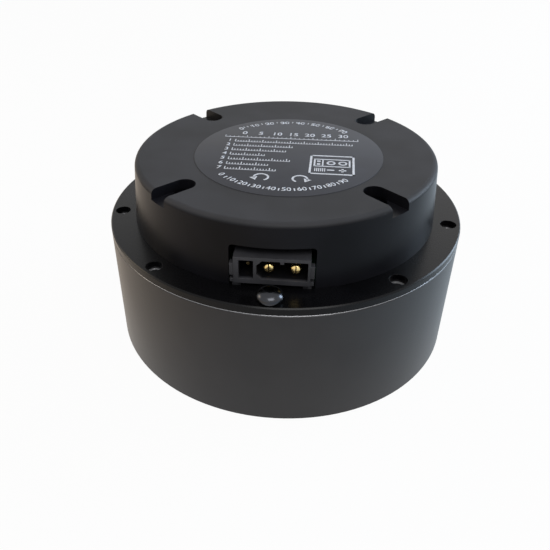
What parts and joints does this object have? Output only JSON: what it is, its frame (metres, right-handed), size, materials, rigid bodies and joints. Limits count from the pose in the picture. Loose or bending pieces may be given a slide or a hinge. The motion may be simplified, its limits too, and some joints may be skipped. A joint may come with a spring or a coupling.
{
  "type": "robot joint actuator",
  "caption": "Flat round joint actuator: closed motor housing, rear flange with bolt holes, driver cap with a side plug socket, and an output flange driven through planetary gears.",
  "frame": {"origin": "on the main axis at the output face, which is the bottom centre of the bounding box", "axes": "+Z along the main axis from the output face to the rear cap; the plug socket looks towards -Y"},
  "size_m": [0.0786, 0.0786, 0.0432],
  "materials": {
    "housing_grey": "satin",
    "flange_black": "satin",
    "cap_black": "matte",
    "label_film": "satin",
    "black_plastic": "satin",
    "gold_contact": "polished",
    "black_screw": "gloss",
    "bearing_steel": "polished",
    "gear_steel": "satin",
    "output_aluminium": "satin",
    "rotor_steel": "satin",
    "magnet_nickel": "satin",
    "core_steel": "matte",
    "copper_wire": "satin",
    "bronze": "satin",
    "circuit_board": "satin",
    "chip_black": "matte",
    "capacitor_can": "satin"
  },
  "bodies": {
    "housing": {"motor_housing": "housing_grey", "bearing_retainer": "housing_grey", "retainer_screws": "black_screw", "output_bearing_outer_race": "bearing_steel", "output_bearing_rollers": "bearing_steel", "ring_gear": "gear_steel", "stator_core": "core_steel", "stator_windings": "copper_wire", "phase_leads": "copper_wire", "rear_flange": "flange_black", "flange_screws": "black_screw", "rotor_rear_bearing_outer": "bearing_steel", "driver_board": "circuit_board", "power_transistors": "chip_black", "controller_chip": "chip_black", "bus_capacitors": "capacitor_can", "encoder_sensor": "chip_black", "connector_housing": "black_plastic", "power_pins": "gold_contact", "signal_pins": "gold_contact", "rear_cap": "cap_black", "cap_screws": "black_screw", "label_disc": "label_film"},
    "output": {"output_flange": "output_aluminium", "output_bearing_inner_race": "bearing_steel", "planet_pins": "gear_steel", "carrier_plate": "gear_steel", "carrier_screws": "black_screw", "rotor_front_bearing_outer": "bearing_steel"},
    "rotor": {"rotor_bell": "rotor_steel", "rotor_magnets": "magnet_nickel", "sun_gear": "gear_steel", "rotor_front_bearing_inner": "bearing_steel", "rotor_rear_bearing_inner": "bearing_steel", "encoder_magnet": "magnet_nickel"},
    "planet_1": {"planet_gear_1": "gear_steel", "planet_bush_1": "bronze"},
    "planet_2": {"planet_gear_2": "gear_steel", "planet_bush_2": "bronze"},
    "planet_3": {"planet_gear_3": "gear_steel", "planet_bush_3": "bronze"}
  },
  "joints": [
    {"name": "rotor_spin", "type": "hinge", "parent": "housing", "child": "rotor", "pos_m": [0, 0, 0.02], "axis": [0, 0, 1], "continuous": true},
    {"name": "output_spin", "type": "hinge", "parent": "housing", "child": "output", "pos_m": [0, 0, 0.005], "axis": [0, 0, 1], "continuous": true},
    {"name": "planet_spin_1", "type": "hinge", "parent": "output", "child": "planet_1", "pos_m": [0.01125, 0, 0.013], "axis": [0, 0, 1], "continuous": true},
    {"name": "planet_spin_2", "type": "hinge", "parent": "output", "child": "planet_2", "pos_m": [-0.00562, 0.00974, 0.013], "axis": [0, 0, 1], "continuous": true},
    {"name": "planet_spin_3", "type": "hinge", "parent": "output", "child": "planet_3", "pos_m": [-0.00562, -0.00974, 0.013], "axis": [0, 0, 1], "continuous": true}
  ],
  "couplings": [
    {"joint": "output_spin", "follows": "rotor_spin", "ratio": 0.13333},
    {"joint": "planet_spin_1", "follows": "rotor_spin", "ratio": -0.31515},
    {"joint": "planet_spin_2", "follows": "rotor_spin", "ratio": -0.31515},
    {"joint": "planet_spin_3", "follows": "rotor_spin", "ratio": -0.31515}
  ]
}
